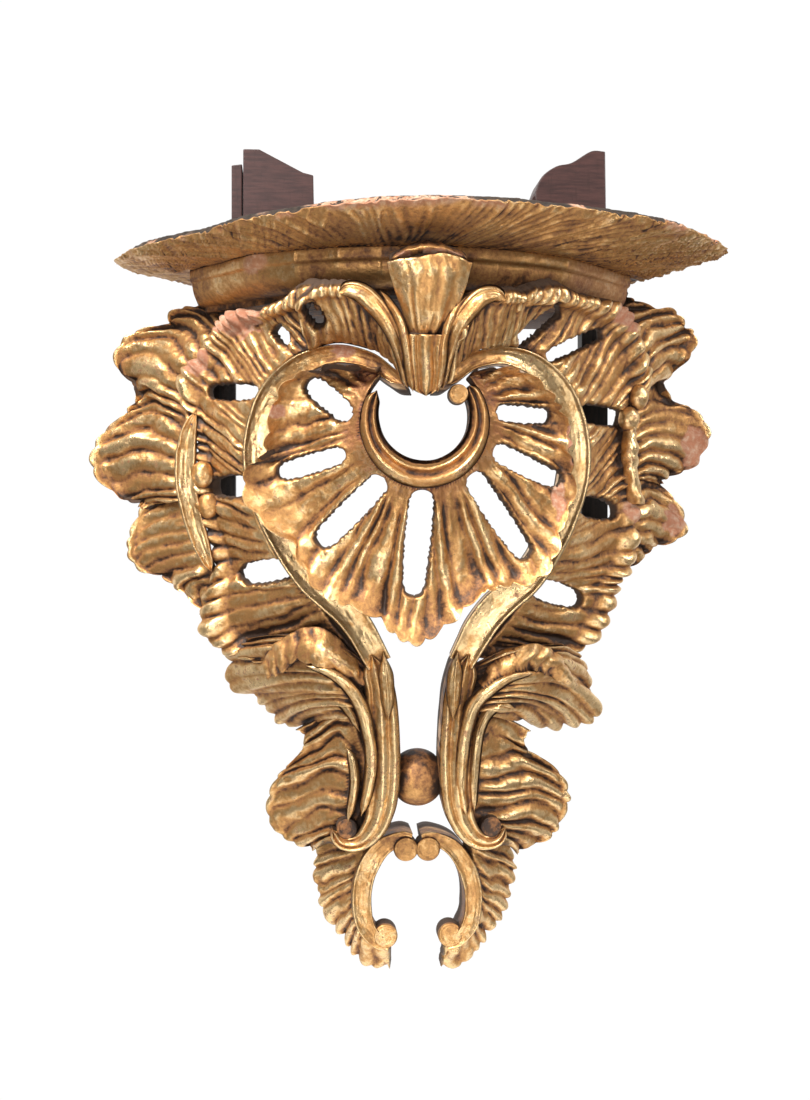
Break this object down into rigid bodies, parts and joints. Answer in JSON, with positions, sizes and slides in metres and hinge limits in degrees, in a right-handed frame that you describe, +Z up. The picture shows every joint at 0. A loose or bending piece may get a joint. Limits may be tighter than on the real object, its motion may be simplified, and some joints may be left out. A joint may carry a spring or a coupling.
{
  "type": "carved wall bracket",
  "caption": "Carved giltwood wall bracket: a fluted D-shaped shelf on a moulded frieze, over a pierced shell, C-scrolls, ribbed wings and leaves that taper to an open foot.",
  "frame": {"origin": "middle of the frieze's back face, on the wall plane, under the shelf", "axes": "+Z up, -Y out from the wall to the front, +X to the right as seen from the front; the wall is the plane Y = 0"},
  "size_m": [0.4869, 0.2466, 0.6371],
  "materials": {
    "gold": "worn water gilding over red bole and gesso on carved softwood, with dark brown patina in the grooves",
    "dark_wood": "near-black stained wood",
    "mahogany": "worn satin reddish brown mahogany"
  },
  "bodies": {
    "root": {"shelf": "gold", "frieze": "gold", "carving": "gold", "left_upright": "dark_wood", "right_upright": "dark_wood", "left_block": "mahogany", "right_block": "mahogany"}
  },
  "joints": []
}
